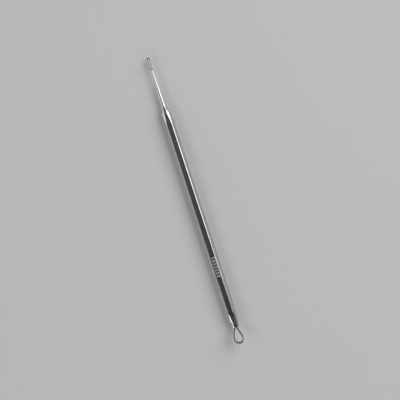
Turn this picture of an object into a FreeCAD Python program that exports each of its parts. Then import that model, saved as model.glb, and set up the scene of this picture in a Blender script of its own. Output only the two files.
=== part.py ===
import FreeCAD, Part
import math
import os

from FreeCAD import Vector

# Comedone extractor: one bar of stainless steel with a round eye at one end and a narrow loop at the other.
# It lies on one facet of its grip. +X runs along the tool to the round eye and +Z is up.
# Lengths are in millimetres and angles in degrees.

# Hexagonal grip
across_flats = 4.0
grip_length = 78.5
grip_edge_round = 0.35

# Turned end that carries the narrow loop: crown, sloping shoulder and slim cone
crown_length = 6.5
crown_setback = 0.03
shoulder_length = 2.6
shoulder_hollow_round = 3.0
cone_length = 15.5
cone_thick_radius = 1.0
neck_radius = 0.3

# Turned taper that carries the round eye
taper_length = 6.7
taper_end_radius = 1.5
taper_end_round = 0.45

# Round eye: a strip on edge, closed to a teardrop and bent up out of the bar's line
eye_radius = 1.35
eye_reach = 4.77
eye_apex_radius = 0.1
eye_apex_offset = 0.63
eye_strip_width = 0.8
eye_strip_depth = 1.15
eye_edge_round = 0.16
eye_bend = 30.0
eye_bend_inset = 0.35

# Narrow loop: a slimmer strip, closed to a long slot in line with the bar
slot_tip_radius = 0.28
slot_root_radius = 0.16
slot_reach = 4.02
slot_strip_width = 0.42
slot_strip_depth = 0.7
slot_edge_round = 0.1
neck_round = 0.12

# An edge this close to two surfaces lies on both
seam_tolerance = 0.0001

# Sizes that follow
flat_distance = across_flats / 2
corner_radius = flat_distance / math.cos(math.radians(30))
crown_small_radius = flat_distance - crown_setback
slot_loop_length = slot_root_radius + slot_reach + slot_tip_radius + 2 * slot_strip_width
eye_outer_radius = eye_radius + eye_strip_width

# How far the tilted rim of the eye reaches past the end of the taper, along X
bend = math.radians(eye_bend)
rim_along = eye_apex_offset + eye_reach + eye_outer_radius - eye_edge_round
rim_below = eye_strip_depth / 2 - eye_edge_round
eye_overhang = rim_along * math.cos(bend) + rim_below * math.sin(bend) + eye_edge_round - eye_bend_inset

turned_length = cone_length + shoulder_length + crown_length + grip_length + taper_length
overall_length = slot_loop_length + turned_length + eye_overhang

# Places along X, with the middle of the whole tool at zero
x_slot_tip = -overall_length / 2
x_neck = x_slot_tip + slot_loop_length
x_cone_end = x_neck + cone_length
x_crown = x_cone_end + shoulder_length
x_grip = x_crown + crown_length
x_taper = x_grip + grip_length
x_taper_end = x_taper + taper_length
x_bend = x_taper_end - eye_bend_inset


def hexagonal_bar():
    """Drawn bar with a facet underneath, its six long edges slightly rounded."""
    edges = []
    arc_centre = corner_radius - grip_edge_round / math.cos(math.radians(30))

    def on_bar(centre_angle, offset_angle):
        a = math.radians(centre_angle)
        b = math.radians(centre_angle + offset_angle)
        y = arc_centre * math.cos(a) + grip_edge_round * math.cos(b)
        z = arc_centre * math.sin(a) + grip_edge_round * math.sin(b)
        return Vector(x_neck - slot_strip_width / 2, y, z)

    for corner in range(6):
        angle = 60 * corner
        rounding = Part.Arc(on_bar(angle, -30), on_bar(angle, 0), on_bar(angle, 30))
        facet = Part.LineSegment(on_bar(angle, 30), on_bar(angle + 60, -30))
        edges.append(rounding.toShape())
        edges.append(facet.toShape())
    section = Part.Face(Part.Wire(edges))
    return section.extrude(Vector(turned_length + slot_strip_width / 2, 0, 0))


def rounded_corner(before, corner, after, radius):
    """Arc that replaces the corner between two straight runs and touches both."""
    back = (before - corner).normalize()
    onward = (after - corner).normalize()
    half_angle = back.getAngle(onward) / 2
    setback = radius / math.tan(half_angle)
    inward = (back + onward).normalize()
    nearest = radius / math.sin(half_angle) - radius
    return Part.Arc(corner + back * setback, corner + inward * nearest, corner + onward * setback)


def turned_blank():
    """Solid of revolution that the bar is turned to: cone, shoulder, crown, grip and taper."""
    x_start = x_neck - slot_strip_width / 2
    start_axis = Vector(x_start, 0, 0)
    neck = Vector(x_start, 0, neck_radius)
    cone_end = Vector(x_cone_end, 0, cone_thick_radius)
    crown_start = Vector(x_crown, 0, crown_small_radius)
    grip_start = Vector(x_grip, 0, corner_radius)
    grip_end = Vector(x_taper, 0, corner_radius)
    taper_end = Vector(x_taper_end, 0, taper_end_radius)
    end_axis = Vector(x_taper_end, 0, 0)
    hollow = rounded_corner(neck, cone_end, crown_start, shoulder_hollow_round)
    end_round = rounded_corner(grip_end, taper_end, end_axis, taper_end_round)

    outline = [
        Part.LineSegment(start_axis, neck),
        Part.LineSegment(neck, hollow.StartPoint),
        hollow,
        Part.LineSegment(hollow.EndPoint, crown_start),
        Part.LineSegment(crown_start, grip_start),
        Part.LineSegment(grip_start, grip_end),
        Part.LineSegment(grip_end, end_round.StartPoint),
        end_round,
        Part.LineSegment(end_round.EndPoint, end_axis),
        Part.LineSegment(end_axis, start_axis),
    ]
    face = Part.Face(Part.Wire([curve.toShape() for curve in outline]))
    return face.revolve(Vector(0, 0, 0), Vector(1, 0, 0), 360)


def teardrop(root_radius, tip_radius, reach):
    """Closed outline round two circles, one at the origin and one at x = reach, with tangent sides."""
    lean = math.asin((tip_radius - root_radius) / reach)

    def touch(x, radius, side):
        return Vector(x - radius * math.sin(lean), side * radius * math.cos(lean), 0)

    root_left = touch(0, root_radius, 1)
    root_right = touch(0, root_radius, -1)
    tip_left = touch(reach, tip_radius, 1)
    tip_right = touch(reach, tip_radius, -1)
    curves = [
        Part.LineSegment(root_left, tip_left),
        Part.Arc(tip_left, Vector(reach + tip_radius, 0, 0), tip_right),
        Part.LineSegment(tip_right, root_right),
        Part.Arc(root_right, Vector(-root_radius, 0, 0), root_left),
    ]
    return Part.Wire([curve.toShape() for curve in curves])


def strip_loop(root_radius, tip_radius, reach, width, depth, edge_round):
    """Strip of even width on edge round a teardrop hole, with its four long edges rounded."""
    outer = Part.Face(teardrop(root_radius + width, tip_radius + width, reach))
    inner = Part.Face(teardrop(root_radius, tip_radius, reach))
    outer.translate(Vector(0, 0, -depth / 2))
    inner.translate(Vector(0, 0, -depth / 2))
    height = Vector(0, 0, depth)
    loop = outer.extrude(height).cut(inner.extrude(height))
    rims = [edge for edge in loop.Edges if abs(edge.BoundBox.ZLength) < depth / 2]
    return loop.makeFillet(edge_round, rims)


def round_eye():
    """The eye, bent up at the end of the taper."""
    eye = strip_loop(
        eye_apex_radius, eye_radius, eye_reach, eye_strip_width, eye_strip_depth, eye_edge_round
    )
    eye.translate(Vector(eye_apex_offset, 0, 0))
    eye.rotate(Vector(0, 0, 0), Vector(0, 1, 0), -eye_bend)
    eye.translate(Vector(x_bend, 0, 0))
    return eye


def narrow_loop():
    """The narrow loop, in line with the cone, its root end against the neck."""
    loop = strip_loop(
        slot_root_radius, slot_tip_radius, slot_reach, slot_strip_width, slot_strip_depth, slot_edge_round
    )
    loop.rotate(Vector(0, 0, 0), Vector(0, 0, 1), 180)
    loop.translate(Vector(x_neck - slot_root_radius - slot_strip_width, 0, 0))
    return loop


def seam(solid, first, second):
    """Edges of the solid that lie on the skins of both shapes, where the two have been joined."""
    edges = []
    for edge in solid.Edges:
        middle = Part.Vertex(edge.valueAt((edge.FirstParameter + edge.LastParameter) / 2))
        gaps = [shape.Shells[0].distToShape(middle)[0] for shape in (first, second)]
        if max(gaps) < seam_tolerance:
            edges.append(edge)
    return edges


handle = hexagonal_bar().common(turned_blank())
loop = narrow_loop()
extractor = handle.fuse([round_eye(), loop]).removeSplitter()
extractor = extractor.makeFillet(neck_round, seam(extractor, handle, loop))
extractor.translate(Vector(0, 0, flat_distance))

os.makedirs("parts", exist_ok=True)
extractor.exportStep("parts/extractor.step")
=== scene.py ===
import math

import bmesh
import bpy
from mathutils import Matrix, Vector


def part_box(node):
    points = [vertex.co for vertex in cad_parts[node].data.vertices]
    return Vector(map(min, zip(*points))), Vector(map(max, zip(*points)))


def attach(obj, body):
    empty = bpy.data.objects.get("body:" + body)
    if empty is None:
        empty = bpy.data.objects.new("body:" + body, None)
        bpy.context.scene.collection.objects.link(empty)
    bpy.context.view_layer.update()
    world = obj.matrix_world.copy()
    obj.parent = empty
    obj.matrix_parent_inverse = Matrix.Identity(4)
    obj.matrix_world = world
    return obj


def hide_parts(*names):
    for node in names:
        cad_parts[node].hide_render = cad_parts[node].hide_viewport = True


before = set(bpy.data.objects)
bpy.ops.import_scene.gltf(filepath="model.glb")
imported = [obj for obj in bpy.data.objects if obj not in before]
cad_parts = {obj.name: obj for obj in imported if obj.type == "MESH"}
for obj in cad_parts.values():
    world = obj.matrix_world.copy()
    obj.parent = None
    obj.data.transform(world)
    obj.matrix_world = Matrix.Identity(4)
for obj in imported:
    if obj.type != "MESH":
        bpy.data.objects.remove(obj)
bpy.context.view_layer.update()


# The bar
# Grip, crown, sloping shoulder, slim cone and taper are one bar of stainless steel. It is drawn with six
# facets, turned down at both ends in a lathe, and polished until its edges and creases are soft.

# Lengths are in millimetres until the finished mesh is scaled
mm = 0.001

facet_distance = 2.0
grip_edge_round = 0.5
grip_length = 78.5
crown_length = 6.5
crown_setback = 0.03
shoulder_length = 2.6
shoulder_hollow = 0.2
cone_length = 15.5
cone_thick_radius = 1.0
neck_radius = 0.3
taper_length = 6.7
taper_end_radius = 1.5
crease_softness = 0.07

# Driving sizes of the narrow loop, which set where the bar begins
slot_root_radius = 0.16
slot_tip_radius = 0.28
slot_reach = 4.02
slot_strip_width = 0.42
narrow_loop_length = slot_root_radius + slot_reach + slot_tip_radius + 2 * slot_strip_width

sixth_turn = math.radians(60)
half_sixth = math.radians(30)
corner_radius = facet_distance / math.cos(half_sixth)
x_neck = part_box("extractor")[0].x / mm + narrow_loop_length
x_cone_start = x_neck - slot_strip_width / 2
x_cone_end = x_neck + cone_length
x_crown = x_cone_end + shoulder_length
x_grip = x_crown + crown_length
x_taper = x_grip + grip_length
x_taper_end = x_taper + taper_length
cone_slope = (cone_thick_radius - neck_radius) / (x_cone_end - x_cone_start)
shoulder_slope = (facet_distance - crown_setback - cone_thick_radius) / shoulder_length
crown_slope = (corner_radius - facet_distance + crown_setback) / crown_length
taper_slope = (corner_radius - taper_end_radius) / taper_length

# The two planes where the bar's own mesh gives way to that of the worked ends
cone_seam_inset = 1.2
taper_seam_inset = 1.8
x_cone_seam = x_neck + cone_seam_inset
x_taper_seam = x_taper_end - taper_seam_inset


def soft_min(a, b, softness):
    """The lesser of two lengths, eased where they are nearly equal."""
    nearness = max(softness - abs(a - b), 0) / softness
    return min(a, b) - nearness ** 3 * softness / 6


def turned_radius(x):
    """Radius that the lathe leaves at a place along the bar."""
    cone = neck_radius + (x - x_cone_start) * cone_slope
    shoulder = cone_thick_radius + (x - x_cone_end) * shoulder_slope
    crown = corner_radius + (x - x_grip) * crown_slope
    taper = corner_radius - (x - x_taper) * taper_slope
    cone_and_shoulder = -soft_min(-cone, -shoulder, shoulder_hollow)
    front = soft_min(cone_and_shoulder, crown, crease_softness)
    return soft_min(min(front, corner_radius + crease_softness), taper, crease_softness)


# How far from the shoulder's hollow and from a crease the rings of points are close, and how far into
# the taper the facets run out
hollow_margin = 0.8
crease_margin = 0.3
run_out_length = 3.0


def stations():
    """Places along the bar that get a ring of points: close where the turned forms meet the facets."""
    x_hollow = x_cone_end - hollow_margin
    x_run_out = x_taper + run_out_length
    stretches = [
        (x_cone_seam, x_hollow, 0.4),
        (x_hollow, x_crown - crease_margin, 0.08),
        (x_crown - crease_margin, x_crown + crease_margin, 0.04),
        (x_crown + crease_margin, x_grip + crease_margin, 0.1),
        (x_grip + crease_margin, x_taper - crease_margin, 3.0),
        (x_taper - crease_margin, x_run_out, 0.08),
        (x_run_out, x_taper_seam, 0.2),
    ]
    places = []
    for start, end, spacing in stretches:
        count = math.ceil((end - start) / spacing)
        places += [start + (end - start) * i / count for i in range(count)]
    return places + [x_taper_seam]


def connect(tree, value, entry):
    """Feeds a node's entry from a field or a socket, or sets it to a plain value."""
    if isinstance(value, Field):
        value = value.socket
    if isinstance(value, bpy.types.NodeSocket):
        tree.links.new(value, entry)
    else:
        entry.default_value = value


class Field:
    """A number worked out at every point by a tree's math nodes."""

    def __init__(self, tree, socket):
        self.tree = tree
        self.socket = socket

    def math(self, operation, *others):
        node = self.tree.nodes.new("ShaderNodeMath")
        node.operation = operation
        for value, entry in zip((self,) + others, node.inputs):
            connect(self.tree, value, entry)
        return Field(self.tree, node.outputs[0])

    def __add__(self, other):
        return self.math("ADD", other)

    def __sub__(self, other):
        return self.math("SUBTRACT", other)

    def __mul__(self, other):
        return self.math("MULTIPLY", other)

    def __truediv__(self, other):
        return self.math("DIVIDE", other)

    def __neg__(self):
        return self.math("MULTIPLY", -1.0)

    def ramp(self, start, end):
        """0 on the side of start, 1 on the side of end and even in between. Start may be the greater."""
        node = self.tree.nodes.new("ShaderNodeMapRange")
        for value, name in ((self, "Value"), (start, "From Min"), (end, "From Max")):
            connect(self.tree, value, node.inputs[name])
        return Field(self.tree, node.outputs["Result"])

    def where(self, limit, below, above):
        """One of two fields: below under the limit, above from it on."""
        choice = self.math("LESS_THAN", limit)
        return above + choice * (below - above)


class ShapeTree:
    """A node tree with named sizes that makes one region of the tool, in millimetres."""

    def __init__(self, name, sizes):
        self.tree = bpy.data.node_groups.new(name, "GeometryNodeTree")
        self.tree.is_modifier = True
        face = self.tree.interface
        face.new_socket("Geometry", in_out="INPUT", socket_type="NodeSocketGeometry")
        for size in sizes:
            face.new_socket(size, in_out="INPUT", socket_type="NodeSocketFloat")
        face.new_socket("Steel", in_out="INPUT", socket_type="NodeSocketMaterial")
        face.new_socket("Geometry", in_out="OUTPUT", socket_type="NodeSocketGeometry")
        self.entry = self.tree.nodes.new("NodeGroupInput")
        self.sizes = {size: Field(self.tree, self.entry.outputs[size]) for size in sizes}

    def node(self, kind, links=(), **settings):
        """A new node of a kind, with its entries fed by name."""
        node = self.tree.nodes.new(kind)
        for key, value in settings.items():
            setattr(node, key, value)
        for name, value in links:
            connect(self.tree, value, node.inputs[name])
        return node

    def place(self):
        """The three coordinates of a point, as fields."""
        position = self.node("GeometryNodeInputPosition")
        parts = self.node("ShaderNodeSeparateXYZ", [("Vector", position.outputs[0])])
        return [Field(self.tree, part) for part in parts.outputs]

    def mark(self, mesh, name, value):
        """Keeps a field on the points of a mesh under a name that the steel's finish reads."""
        marked = self.node(
            "GeometryNodeStoreNamedAttribute",
            [("Geometry", mesh), ("Name", name), ("Value", value)],
            data_type="FLOAT",
            domain="POINT",
        )
        return marked.outputs[0]

    def close(self, mesh):
        """Smooth shading, real geometry and the steel, and the tree's way out."""
        smooth = self.node("GeometryNodeSetShadeSmooth", [("Geometry", mesh)])
        real = self.node("GeometryNodeRealizeInstances", [("Geometry", smooth.outputs[0])])
        steel = [("Geometry", real.outputs[0]), ("Material", self.entry.outputs["Steel"])]
        finished = self.node("GeometryNodeSetMaterial", steel)
        self.node("NodeGroupOutput", [("Geometry", finished.outputs[0])])

    def make(self, carrier, values, material):
        """Runs the tree on a carrier object and returns what it makes as a plain mesh."""
        modifier = carrier.modifiers.new("shape", "NODES")
        modifier.node_group = self.tree
        values = {**values, "Steel": material}
        for item in self.tree.interface.items_tree:
            if item.in_out == "INPUT" and item.name in values:
                modifier[item.identifier] = values[item.name]
        graph = bpy.context.evaluated_depsgraph_get()
        mesh = bpy.data.meshes.new_from_object(carrier.evaluated_get(graph))
        bpy.data.objects.remove(carrier)
        return mesh


# How far the lathe has gone below the facets where its lines begin to show, and where they are full
turning_starts = -0.01
turning_is_full = 0.02


def faceted_bar_tree(around):
    """Turns a spine into a lathe form and cuts it back to a hexagon with rounded edges."""
    shape = ShapeTree("faceted_bar", ["Facet Distance", "Edge Round", "Crease Softness", "Corner Share"])
    apothem = shape.sizes["Facet Distance"]
    edge_round = shape.sizes["Edge Round"]
    share = shape.sizes["Corner Share"]
    circle = shape.node("GeometryNodeCurvePrimitiveCircle", [("Resolution", around), ("Radius", 1.0)])
    radius = shape.node("GeometryNodeInputRadius")
    turned = shape.node(
        "GeometryNodeCurveToMesh",
        [
            ("Curve", shape.entry.outputs["Geometry"]),
            ("Profile Curve", circle.outputs[0]),
            ("Scale", radius.outputs[0]),
        ],
    )
    x, y, z = shape.place()
    lathe_radius = (y * y + z * z).math("SQRT")
    sixths = z.math("ARCTAN2", y) / sixth_turn + 0.5
    corner = sixths.math("FLOOR")
    phase = sixths - corner

    # Half of the points of each sixth crowd into the corner's share of it, which keeps the edges round
    flat_share = (-share + 1.0) * 0.5
    crowded = (
        phase.ramp(0.0, 0.25) * flat_share
        + phase.ramp(0.25, 0.75) * share
        + phase.ramp(0.75, 1.0) * flat_share
    )
    from_corner = (crowded - 0.5) * sixth_turn
    angle = corner * sixth_turn + from_corner

    # Distance to the hexagon's outline in that direction, on a rounded edge or on a flat
    arc_centre = (apothem - edge_round) / math.cos(half_sixth)
    flat_end = ((apothem - edge_round) / apothem * math.tan(half_sixth)).math("ARCTANGENT")
    arc_end = -flat_end + half_sixth
    inside = edge_round * edge_round - (arc_centre * from_corner.math("SINE")).math("POWER", 2.0)
    rounded = arc_centre * from_corner.math("COSINE") + inside.math("MAXIMUM", 0.0).math("SQRT")
    turn = from_corner.math("ABSOLUTE")
    flat = apothem / (-turn + half_sixth).math("COSINE")
    hexagon = turn.where(arc_end, rounded, flat)

    left = lathe_radius.math("SMOOTH_MIN", hexagon, shape.sizes["Crease Softness"])
    across = left * angle.math("COSINE")
    up = left * angle.math("SINE")
    moved = shape.node("ShaderNodeCombineXYZ", [("X", x), ("Y", across), ("Z", up)])
    lathe_depth = hexagon - lathe_radius
    marked = shape.mark(turned.outputs[0], "turned", lathe_depth.ramp(turning_starts, turning_is_full))
    cut = shape.node("GeometryNodeSetPosition", [("Geometry", marked), ("Position", moved.outputs[0])])
    shape.close(cut.outputs[0])
    return shape


def spine():
    """The lathe's axis as a curve whose points carry the turned radius."""
    places = stations()
    curve = bpy.data.curves.new("spine", "CURVE")
    curve.dimensions = "3D"
    line = curve.splines.new("POLY")
    line.points.add(len(places) - 1)
    for point, x in zip(line.points, places):
        point.co = (x, 0, 0, 1)
        point.radius = turned_radius(x)
    carrier = bpy.data.objects.new("spine", curve)
    bpy.context.scene.collection.objects.link(carrier)
    return carrier


steel = bpy.data.materials.new("polished_steel")
bar_sizes = {
    "Facet Distance": facet_distance,
    "Edge Round": grip_edge_round,
    "Crease Softness": crease_softness,
    "Corner Share": 0.27,
}
bar_mesh = faceted_bar_tree(around=120).make(spine(), bar_sizes, steel)


# The round eye and the narrow loop
# Each is a strip on edge, closed round a teardrop hole and run into the end of the bar with a small fillet.
# The eye is bent up by 30 degrees at the end of the taper; the narrow loop stays in line with the cone.

eye_sizes = {
    "Hole Root Radius": 0.1,
    "Hole Tip Radius": 1.35,
    "Reach": 4.77,
    "Strip Width": 0.8,
    "Strip Depth": 1.15,
    "Strip Edge Round": 0.16,
    "Bend": math.radians(30),
    "Bend Inset": 0.35,
    "Apex Offset": 0.63,
    "Bar End Radius": taper_end_radius,
    "Bar Slope": taper_slope,
    "Bar End Round": 0.45,
    "Fillet": 0.22,
}
slot_sizes = {
    "Hole Root Radius": slot_root_radius,
    "Hole Tip Radius": slot_tip_radius,
    "Reach": slot_reach,
    "Strip Width": slot_strip_width,
    "Strip Depth": 0.7,
    "Strip Edge Round": 0.1,
    "Bend": 0.0,
    "Bend Inset": 0.0,
    "Apex Offset": slot_root_radius + slot_strip_width / 2,
    "Bar End Radius": neck_radius,
    "Bar Slope": cone_slope,
    "Bar End Round": 0.05,
    "Fillet": 0.3,
}
crease_reach = 0.3
settling_steps = 2


def rounded_corner(first, second, radius):
    """Distance to the solid inside both of two surfaces, with the edge between them rounded."""
    a = first + radius
    b = second + radius
    a_out = a.math("MAXIMUM", 0.0)
    b_out = b.math("MAXIMUM", 0.0)
    outside = (a_out * a_out + b_out * b_out).math("SQRT")
    return a.math("MAXIMUM", b).math("MINIMUM", 0.0) + outside - radius


def worked_end_tree(low, high, fineness):
    """Solid made from its distance field: a strip loop joined softly to the end of a round bar.
    The bar comes from -X and its end face is at x = 0."""
    counts = [math.ceil((b - a) / fineness) for a, b in zip(low, high)]
    shape = ShapeTree("worked_end", list(eye_sizes))
    size = shape.sizes
    x, y, z = shape.place()

    from_axis = (y * y + z * z).math("SQRT")
    slope = size["Bar Slope"]
    lean = (slope * slope + 1.0).math("SQRT")
    side = (from_axis - size["Bar End Radius"] + x * slope) / lean
    bar = rounded_corner(side, x, size["Bar End Round"])

    # Into the loop's own plane, with the hole's narrow end at the origin
    from_bend = x + size["Bend Inset"]
    sine = size["Bend"].math("SINE")
    cosine = size["Bend"].math("COSINE")
    along = from_bend * cosine + z * sine - size["Apex Offset"]
    above = z * cosine - from_bend * sine
    across = y.math("ABSOLUTE")

    # Distance to the outline round two circles, taken through the middle of the strip
    width = size["Strip Width"]
    root = size["Hole Root Radius"] + width * 0.5
    tip = size["Hole Tip Radius"] + width * 0.5
    reach = size["Reach"]
    sine_side = (tip - root) / reach
    cosine_side = (-(sine_side * sine_side) + 1.0).math("SQRT")
    touch = along * cosine_side + across * sine_side
    to_root = (along * along + across * across).math("SQRT") - root
    past = along - reach
    to_tip = (past * past + across * across).math("SQRT") - tip
    to_side = across * cosine_side - along * sine_side - root
    outline = touch.where(0.0, to_root, touch.where(reach * cosine_side, to_side, to_tip))

    strip = rounded_corner(
        outline.math("ABSOLUTE") - width * 0.5,
        above.math("ABSOLUTE") - size["Strip Depth"] * 0.5,
        size["Strip Edge Round"],
    )
    whole = bar.math("SMOOTH_MIN", strip, size["Fillet"])
    block = shape.node(
        "GeometryNodeVolumeCube",
        [
            ("Density", -whole),
            ("Background", -1.0),
            ("Min", low),
            ("Max", high),
            ("Resolution X", counts[0]),
            ("Resolution Y", counts[1]),
            ("Resolution Z", counts[2]),
        ],
    )
    skin = shape.node(
        "GeometryNodeVolumeToMesh",
        [("Volume", block.outputs[0]), ("Threshold", 0.0)],
        resolution_mode="GRID",
    )

    # Each point slides onto the true surface, which evens out the steps of the block's grid
    even = skin.outputs[0]
    for _ in range(settling_steps):
        normal = shape.node("GeometryNodeInputNormal")
        slide = shape.node(
            "ShaderNodeVectorMath", [("Vector", normal.outputs[0]), ("Scale", -whole)], operation="SCALE"
        )
        settled = shape.node("GeometryNodeSetPosition", [("Geometry", even), ("Offset", slide.outputs[0])])
        even = settled.outputs[0]
    # Nearness to the crease where the strip meets the bar, kept so that the steel's finish paints shade
    # there
    from_crease = (bar - strip).math("ABSOLUTE")
    shape.close(shape.mark(even, "crease", from_crease.ramp(crease_reach, 0.0)))
    return shape


def empty_carrier():
    """Object that a tree can run on when it needs no geometry to start from."""
    carrier = bpy.data.objects.new("carrier", bpy.data.meshes.new("carrier"))
    bpy.context.scene.collection.objects.link(carrier)
    return carrier


eye_tree = worked_end_tree(low=(-2.0, -2.4, -2.0), high=(6.4, 2.4, 4.4), fineness=0.06)
eye_mesh = eye_tree.make(empty_carrier(), eye_sizes, steel)
slot_tree = worked_end_tree(low=(-1.6, -0.9, -0.5), high=(5.4, 0.9, 0.5), fineness=0.04)
slot_mesh = slot_tree.make(empty_carrier(), slot_sizes, steel)


# The joined tool
# The worked ends grow out of the bar without a seam, so the three skins are stitched into one surface.
# The steel is ground along the grip, turned at both ends and polished, with a frosted mark on one facet.

stitch_gap = 0.1
stitch_merge = 0.015


def cut_open(mesh, x):
    """Takes away what lies behind a plane across the bar and leaves the rest open there."""
    part = bmesh.new()
    part.from_mesh(mesh)
    everything = part.verts[:] + part.edges[:] + part.faces[:]
    bmesh.ops.bisect_plane(part, geom=everything, plane_co=(x, 0, 0), plane_no=(1, 0, 0), clear_inner=True)
    rim = [vertex for vertex in part.verts if vertex.is_boundary]
    bmesh.ops.remove_doubles(part, verts=rim, dist=stitch_merge)
    part.to_mesh(mesh)
    part.free()


def stitch(part, low, high):
    """Closes the gap between two open rims that face each other between two places along the bar."""
    rims = []
    for edge in part.edges:
        if edge.is_boundary and all(low < vertex.co.x < high for vertex in edge.verts):
            rims.append(edge)
    bmesh.ops.bridge_loops(part, edges=rims)


cut_open(eye_mesh, x_taper_seam - x_taper_end + stitch_gap)
cut_open(slot_mesh, x_cone_start - x_cone_seam + stitch_gap)
eye_mesh.transform(Matrix.Translation((x_taper_end, 0, 0)))
slot_mesh.transform(Matrix.Translation((x_cone_start, 0, 0)) @ Matrix.Rotation(math.pi, 4, "Z"))

whole = bmesh.new()
for mesh in (bar_mesh, eye_mesh, slot_mesh):
    whole.from_mesh(mesh)
    bpy.data.meshes.remove(mesh)
stitch(whole, x_taper_seam - stitch_gap, x_taper_seam + 2 * stitch_gap)
stitch(whole, x_cone_seam - 2 * stitch_gap, x_cone_seam + stitch_gap)
bmesh.ops.recalc_face_normals(whole, faces=whole.faces[:])
bmesh.ops.translate(whole, verts=whole.verts[:], vec=(0, 0, facet_distance))
bmesh.ops.scale(whole, verts=whole.verts[:], vec=(mm, mm, mm))
for face in whole.faces:
    face.smooth = True
tool_mesh = bpy.data.meshes.new("steel_extractor")
whole.to_mesh(tool_mesh)
whole.free()
tool = bpy.data.objects.new("steel_extractor", tool_mesh)
bpy.context.scene.collection.objects.link(tool)


class SurfaceTree:
    """The steel's finish, worked out at every point of the surface by its nodes."""

    def __init__(self, material):
        material.use_nodes = True
        self.tree = material.node_tree
        self.shader = self.tree.nodes["Principled BSDF"]
        coordinates = self.tree.nodes.new("ShaderNodeTexCoord")
        in_mm = self.tree.nodes.new("ShaderNodeVectorMath")
        in_mm.operation = "SCALE"
        in_mm.inputs["Scale"].default_value = 1 / mm
        self.tree.links.new(coordinates.outputs["Object"], in_mm.inputs[0])
        self.point = in_mm.outputs[0]
        split = self.tree.nodes.new("ShaderNodeSeparateXYZ")
        self.tree.links.new(self.point, split.inputs[0])
        self.x, self.y, self.z = [Field(self.tree, part) for part in split.outputs]

    def attribute(self, name):
        """A field that the shape's tree kept on the points."""
        node = self.tree.nodes.new("ShaderNodeAttribute")
        node.attribute_name = name
        return Field(self.tree, node.outputs["Fac"])

    def grain(self, size, detail=2.0, turn=0.0, about=None):
        """Soft noise between 0 and 1, whose grains have a length, width and height in millimetres.
        The length lies along X, or is turned from it about Z by an angle in radians."""
        mapping = self.tree.nodes.new("ShaderNodeMapping")
        mapping.vector_type = "TEXTURE"
        mapping.inputs["Scale"].default_value = size
        mapping.inputs["Rotation"].default_value = (0, 0, turn)
        self.tree.links.new(about or self.point, mapping.inputs["Vector"])
        noise = self.tree.nodes.new("ShaderNodeTexNoise")
        noise.inputs["Scale"].default_value = 1.0
        noise.inputs["Detail"].default_value = detail
        self.tree.links.new(mapping.outputs[0], noise.inputs["Vector"])
        return Field(self.tree, noise.outputs[0])

    def vector(self, x, y, z):
        """A point made of three fields."""
        node = self.tree.nodes.new("ShaderNodeCombineXYZ")
        for value, entry in zip((x, y, z), node.inputs):
            connect(self.tree, value, entry)
        return node.outputs[0]

    def blend(self, share, first, second):
        """A colour between two, first where the share is 0."""
        node = self.tree.nodes.new("ShaderNodeMix")
        node.data_type = "RGBA"
        connect(self.tree, share, node.inputs["Factor"])
        colour_entries = [entry for entry in node.inputs if entry.type == "RGBA"]
        for value, entry in zip((first, second), colour_entries):
            opaque = (*value, 1.0) if isinstance(value, tuple) else value
            connect(self.tree, opaque, entry)
        return next(result for result in node.outputs if result.type == "RGBA")

    def bump(self, height, depth, under=None):
        """Relief of a depth in millimetres."""
        node = self.tree.nodes.new("ShaderNodeBump")
        node.inputs["Distance"].default_value = depth * mm
        connect(self.tree, height, node.inputs["Height"])
        if under:
            connect(self.tree, under, node.inputs["Normal"])
        return node.outputs[0]


bright_steel = (0.61, 0.615, 0.62)
dull_steel = (0.49, 0.495, 0.505)
etched_steel = (0.70, 0.66, 0.645)
# Painted shade: the dark colour laid into the creases where the worked ends meet the bar
crease_shade_colour = (0.19, 0.185, 0.18)

# Length, width and height of the grains. Those of turning are measured along the bar, out from its axis
# and, in radians, round it.
coarse_grind_grain = (14.0, 0.11, 0.11)
fine_grind_grain = (5.0, 0.035, 0.035)
wave_grain = (20.0, 0.7, 0.7)
coarse_turning_grain = (0.12, 3.0, 2.5)
fine_turning_grain = (0.03, 1.0, 1.5)
smudge_grain = (4.5, 2.0, 2.0)
long_scratch_grain = (2.6, 0.05, 0.05)
short_scratch_grain = (1.8, 0.04, 0.04)
ragged_grain = (0.09, 0.09, 0.09)
patchy_grain = (1.6, 0.9, 0.9)
frost_grain = (0.05, 0.05, 0.05)

# What share the coarse lines have, the rest being the fine ones
coarse_grind_share = 0.6
coarse_turning_share = 0.65

# How much each mark darkens the steel
stroke_tone = 0.6
smudge_tone = 0.25
hairline_tone = 0.15
# Painted shade: how far the creases where the ends meet the bar are darkened
crease_shade_strength = 0.75

# How rough the polish is, and how much each mark adds
polish_roughness = 0.11
stroke_roughness = 0.12
smudge_roughness = 0.05
hairline_roughness = 0.12
turning_roughness = 0.03
etching_roughness = 0.36
crease_roughness = 0.25

# How deep each mark is
wave_depth = 0.004
grind_depth = 0.0028
turning_depth = 0.0035
hairline_depth = 0.0008
etching_depth = 0.008

# A row of short bars, etched across the upper facet near the eye
mark_start = 23.9
mark_pitch = 1.27
mark_bars = 7
mark_bar_length = 0.74
mark_bar_width = 1.56
mark_bar_round = 0.1
mark_edge_wander = 0.12
mark_depth_below_facet = 0.1
hatch_pitch = 0.09
hatch_contrast = 0.12
mark_unevenness = 0.4


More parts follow.
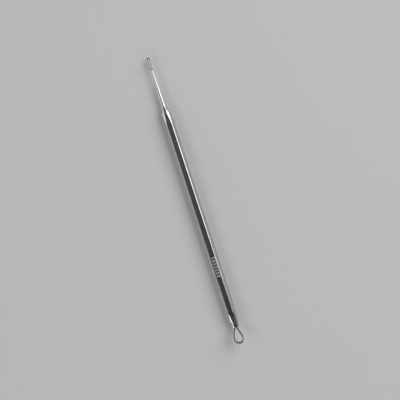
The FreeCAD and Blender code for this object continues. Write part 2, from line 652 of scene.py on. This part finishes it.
def finish_steel(material):
    """Polished steel with its marks of grinding, turning and handling, the etched bars, and shade painted
    dark into the creases.
    """
    finish = SurfaceTree(material)
    x, y, z = finish.x, finish.y, finish.z
    height = z - facet_distance

    # Lines left by grinding along the bar, and by turning round the lathe's axis
    coarse_grind = finish.grain(coarse_grind_grain, detail=2.0)
    fine_grind = finish.grain(fine_grind_grain, detail=1.0)
    ground = coarse_grind * coarse_grind_share + fine_grind * (1 - coarse_grind_share)
    wavy = finish.grain(wave_grain, detail=1.0)
    around = (y * y + height * height).math("SQRT")
    lathe_point = finish.vector(x, around, height.math("ARCTAN2", y))
    coarse_turning = finish.grain(coarse_turning_grain, detail=3.0, about=lathe_point)
    fine_turning = finish.grain(fine_turning_grain, detail=1.0, about=lathe_point)
    lathe_lines = coarse_turning * coarse_turning_share + fine_turning * (1 - coarse_turning_share)
    turned = finish.attribute("turned")
    strokes = ground + turned * (lathe_lines - ground)
    stroke_darkness = strokes.ramp(start=0.35, end=0.65)

    # Handling marks: faint smudges, and hairlines that cross the grinding at a slant
    smudge = finish.grain(smudge_grain, detail=3.0).ramp(start=0.42, end=0.68)
    long_scratch = finish.grain(long_scratch_grain, detail=0.0, turn=0.3).ramp(start=0.74, end=0.86)
    short_scratch = finish.grain(short_scratch_grain, detail=0.0, turn=-0.6).ramp(start=0.75, end=0.87)
    hairlines = long_scratch.math("MAXIMUM", short_scratch)

    # The etched bars, with ragged ends, fine hatching and patches where the frost is thinner
    along = (x - mark_start) / mark_pitch
    from_bar = (along - along.math("FLOOR") - 0.5).math("ABSOLUTE") * mark_pitch
    bar_edge = rounded_corner(
        from_bar - mark_bar_length / 2, y.math("ABSOLUTE") - mark_bar_width / 2, mark_bar_round
    )
    ragged_edge = bar_edge + (finish.grain(ragged_grain) - 0.5) * mark_edge_wander
    bar = ragged_edge.ramp(start=0.04, end=-0.03)
    row = (along - mark_bars / 2).math("ABSOLUTE").math("LESS_THAN", mark_bars / 2)
    upper = height.math("GREATER_THAN", facet_distance - mark_depth_below_facet)
    hatch = (y * (2 * math.pi / hatch_pitch)).math("SINE") * hatch_contrast + (1 - hatch_contrast)
    patches = finish.grain(patchy_grain, detail=3.0).ramp(start=0.25, end=0.6)
    uneven = patches * mark_unevenness + (1 - mark_unevenness)
    etched = bar * row * upper * hatch * uneven

    # Painted shade: the steel is darkened near the creases where the worked ends meet the bar
    crease = finish.attribute("crease").math("POWER", 2.0) * crease_shade_strength
    tone = stroke_darkness * stroke_tone + smudge * smudge_tone + hairlines * hairline_tone
    colour = finish.blend(tone, bright_steel, dull_steel)
    colour = finish.blend(etched, colour, etched_steel)
    colour = finish.blend(crease, colour, crease_shade_colour)

    roughness = (
        stroke_darkness * stroke_roughness
        + smudge * smudge_roughness
        + hairlines * hairline_roughness
        + turned * turning_roughness
        + polish_roughness
        + etched * etching_roughness
        + crease * crease_roughness
    )

    relief = finish.bump(wavy, wave_depth)
    relief = finish.bump(ground * (-turned + 1.0), grind_depth, under=relief)
    relief = finish.bump(lathe_lines * turned, turning_depth, under=relief)
    relief = finish.bump(-hairlines, hairline_depth, under=relief)
    relief = finish.bump(etched * finish.grain(frost_grain), etching_depth, under=relief)

    shader = finish.shader
    shader.inputs["Metallic"].default_value = 1.0
    connect(finish.tree, colour, shader.inputs["Base Color"])
    connect(finish.tree, roughness, shader.inputs["Roughness"])
    connect(finish.tree, relief, shader.inputs["Normal"])


finish_steel(steel)
tool_mesh.materials.clear()
tool_mesh.materials.append(steel)
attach(tool, "root")
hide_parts("extractor")


# The table and the light
# A plain pale table top under soft studio lamps. The room is pale near the horizon and dark overhead, a
# little less dark towards the narrow loop, so that the upper facet lies dark between two bright edges.

table_half = 4.0
table_grey = (0.66, 0.66, 0.655)
table_roughness = 0.75
table_gloss = 0.2

table_mesh = bpy.data.meshes.new("table")
table_corners = [(x * table_half, y * table_half, 0) for x, y in ((-1, -1), (1, -1), (1, 1), (-1, 1))]
table_mesh.from_pydata(table_corners, [], [(0, 1, 2, 3)])
table = bpy.data.objects.new("table", table_mesh)
bpy.context.scene.collection.objects.link(table)
table_paint = bpy.data.materials.new("table_paint")
table_paint.use_nodes = True
table_shader = table_paint.node_tree.nodes["Principled BSDF"]
table_shader.inputs["Base Color"].default_value = (*table_grey, 1.0)
table_shader.inputs["Roughness"].default_value = table_roughness
table_shader.inputs["Specular IOR Level"].default_value = table_gloss
table_mesh.materials.append(table_paint)

# Levels of the room's light, with 1 as white, and how fast it falls from the horizon upwards
room_horizon = 0.9
room_overhead_loop_side = 0.095
room_overhead_eye_side = 0.05
room_falloff = 3.2

# Direction of the soft black flag in degrees, and the cosines of the angles from it where its edge fades
flag_bearing = 66
flag_elevation = 14
flag_edge = 0.88
flag_core = 0.98
flag_strength = 0.75


def outward(bearing, elevation):
    """Direction away from the tool, both angles in degrees and the bearing counted from +X towards +Y."""
    turn = math.radians(bearing)
    rise = math.radians(elevation)
    flat = math.cos(rise)
    return Vector((flat * math.cos(turn), flat * math.sin(turn), math.sin(rise)))


def light_room():
    """Room light by direction: pale round the horizon, dark overhead, and a soft black flag on one side."""
    world = bpy.data.worlds.new("studio")
    bpy.context.scene.world = world
    world.use_nodes = True
    tree = world.node_tree
    direction = tree.nodes.new("ShaderNodeTexCoord")
    parts = tree.nodes.new("ShaderNodeSeparateXYZ")
    tree.links.new(direction.outputs["Generated"], parts.inputs[0])
    lowness = Field(tree, parts.outputs["Z"]).ramp(start=1.0, end=0.0).math("POWER", room_falloff)
    eye_side = Field(tree, parts.outputs["X"]).ramp(start=-0.1, end=0.15)
    overhead = eye_side * (room_overhead_eye_side - room_overhead_loop_side) + room_overhead_loop_side
    towards_flag = tree.nodes.new("ShaderNodeVectorMath")
    towards_flag.operation = "DOT_PRODUCT"
    towards_flag.inputs[1].default_value = outward(flag_bearing, flag_elevation)
    tree.links.new(direction.outputs["Generated"], towards_flag.inputs[0])
    shade = Field(tree, towards_flag.outputs["Value"]).ramp(flag_edge, flag_core) * flag_strength
    level = (lowness * (-overhead + room_horizon) + overhead) * (-shade + 1.0)
    connect(tree, level, tree.nodes["Background"].inputs["Color"])


def lamp(name, bearing, elevation, distance, width, height, brightness):
    """Softbox that faces the tool, its angles in degrees and its lengths in metres."""
    data = bpy.data.lights.new(name, "AREA")
    data.shape = "RECTANGLE"
    data.size = width
    data.size_y = height
    data.energy = brightness * math.pi * width * height
    softbox = bpy.data.objects.new(name, data)
    out = outward(bearing, elevation)
    softbox.location = out * distance
    softbox.rotation_euler = out.to_track_quat("Z", "Y").to_euler()
    bpy.context.scene.collection.objects.link(softbox)


light_room()
lamp("key_softbox", bearing=114, elevation=42, distance=1.2, width=1.15, height=0.9, brightness=3.2)
lamp("fill_softbox", bearing=243, elevation=30, distance=1.2, width=0.9, height=0.5, brightness=1.5)
lamp("front_softbox", bearing=350, elevation=28, distance=1.2, width=1.1, height=0.5, brightness=1.5)
lamp("strip_softbox", bearing=295, elevation=40, distance=0.7, width=0.13, height=0.2, brightness=5.4)


# The camera
# It looks straight down on the tool, turned so that the narrow loop is at the top left of the picture.

picture_width = 0.16207
picture_centre = (0.00064, 0.0023)
picture_turn = 71.98

camera_data = bpy.data.cameras.new("camera")
camera_data.lens = 80
camera_data.sensor_width = 36
camera_height = picture_width * camera_data.lens / camera_data.sensor_width
camera = bpy.data.objects.new("camera", camera_data)
camera.location = (*picture_centre, facet_distance * mm + camera_height)
camera.rotation_euler = (0, 0, math.radians(picture_turn))
bpy.context.scene.collection.objects.link(camera)
bpy.context.scene.camera = camera
bpy.context.scene.view_settings.view_transform = "Standard"
